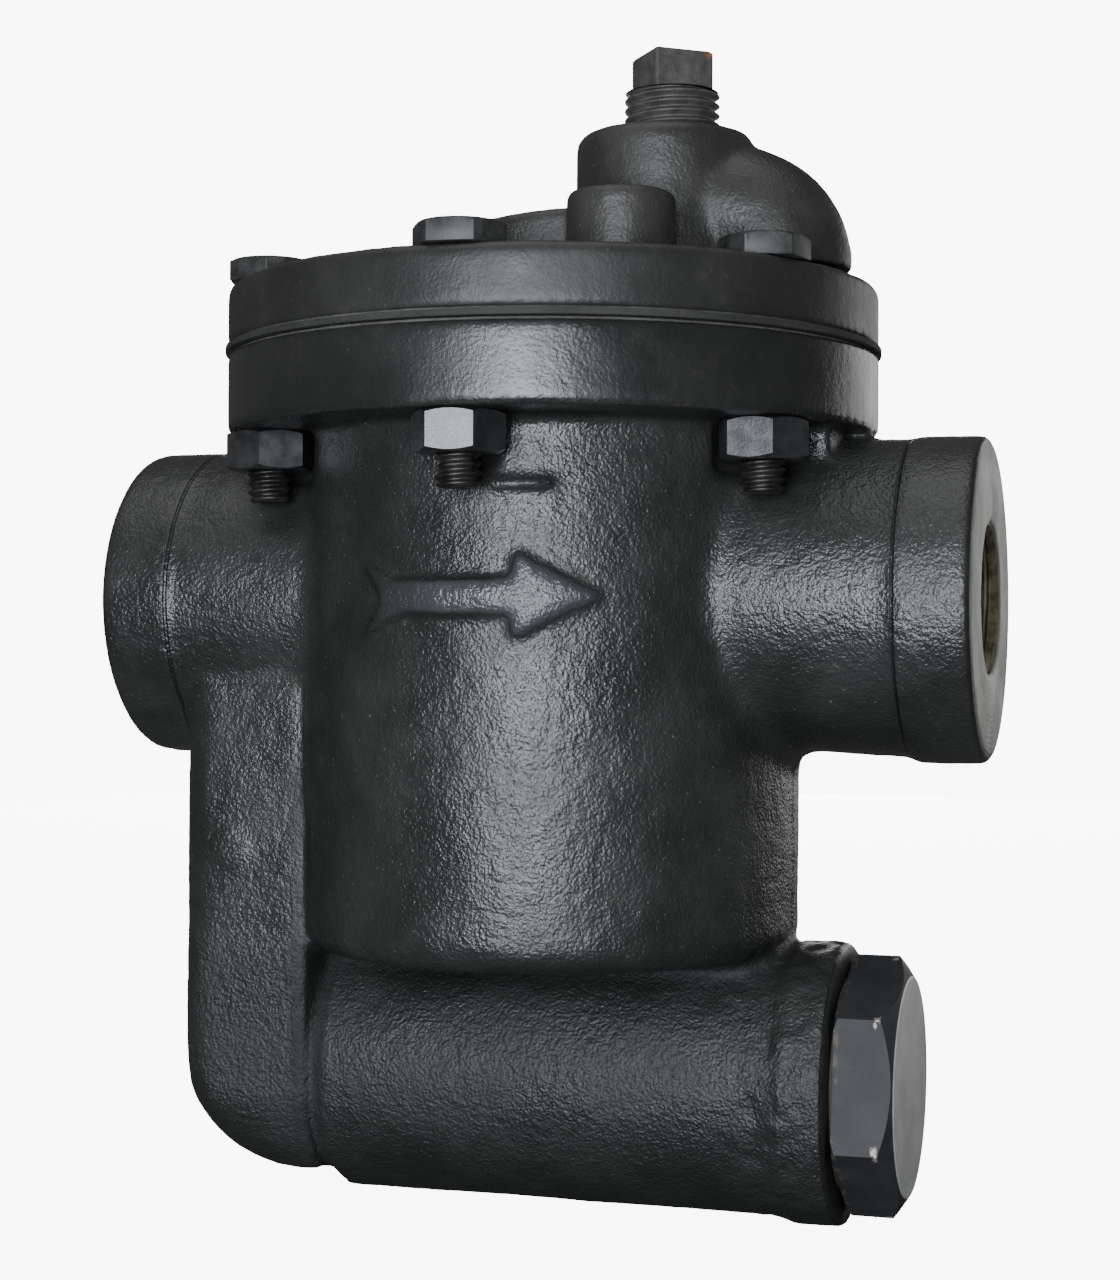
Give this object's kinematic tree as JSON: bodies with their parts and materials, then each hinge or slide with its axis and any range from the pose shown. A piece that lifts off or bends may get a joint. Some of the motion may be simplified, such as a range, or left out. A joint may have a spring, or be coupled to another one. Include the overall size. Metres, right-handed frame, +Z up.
{
  "type": "steam trap",
  "caption": "Inverted-bucket steam trap in cast iron, with side inlet and outlet, integral strainer, bolted cap, test plug, and a working bucket, lever and valve inside.",
  "frame": {"origin": "centre of the inlet port's face, on the pipe centre line", "axes": "+X along the pipe towards the outlet port, +Z up towards the cap and test plug, -Y towards the face that carries the flow arrow"},
  "size_m": [0.127, 0.0965, 0.1685],
  "materials": {
    "body_casting": "gloss black paint over a rough sand-cast skin",
    "cap_casting": "satin black paint over cast and turned iron",
    "fibre_gasket": "matt compressed fibre",
    "bolt_steel": "dull dark steel",
    "nut_steel": "worn bright steel",
    "plug_iron": "bare dark iron with machined threads",
    "strainer_plug_iron": "satin, turned end face",
    "copper_gasket": "tarnished soft metal",
    "stainless": "brushed",
    "hardened_stainless": "polished"
  },
  "bodies": {
    "root": {"trap_body": "body_casting", "cap": "cap_casting", "cap_gasket": "fibre_gasket", "cap_bolts": "bolt_steel", "cap_nuts": "nut_steel", "test_plug": "plug_iron", "strainer_plug": "strainer_plug_iron", "strainer_plug_gasket": "copper_gasket", "strainer_screen": "stainless", "screen_end_rings": "stainless", "inlet_tube": "stainless", "valve_seat": "hardened_stainless", "seat_washer": "copper_gasket", "lever_bracket": "stainless", "bracket_screw": "stainless", "pivot_pin": "hardened_stainless"},
    "bucket": {"bucket": "stainless", "bucket_clip": "stainless", "clip_rivet": "stainless", "bucket_weight": "stainless"},
    "lever": {"lever": "stainless", "valve_ball": "hardened_stainless", "valve_retainer": "stainless"}
  },
  "joints": [
    {"name": "bucket_float", "type": "slide", "parent": "root", "child": "bucket", "axis": [0, 0, 1], "range_m": [0, 0.006]},
    {"name": "lever_swing", "type": "hinge", "parent": "root", "child": "lever", "pos_m": [0.0881, 0, 0.02403], "axis": [0, 1, 0], "range_deg": [0, 13.8]}
  ],
  "couplings": [
    {"joint": "lever_swing", "follows": "bucket_float", "rad_per_m": 40}
  ]
}
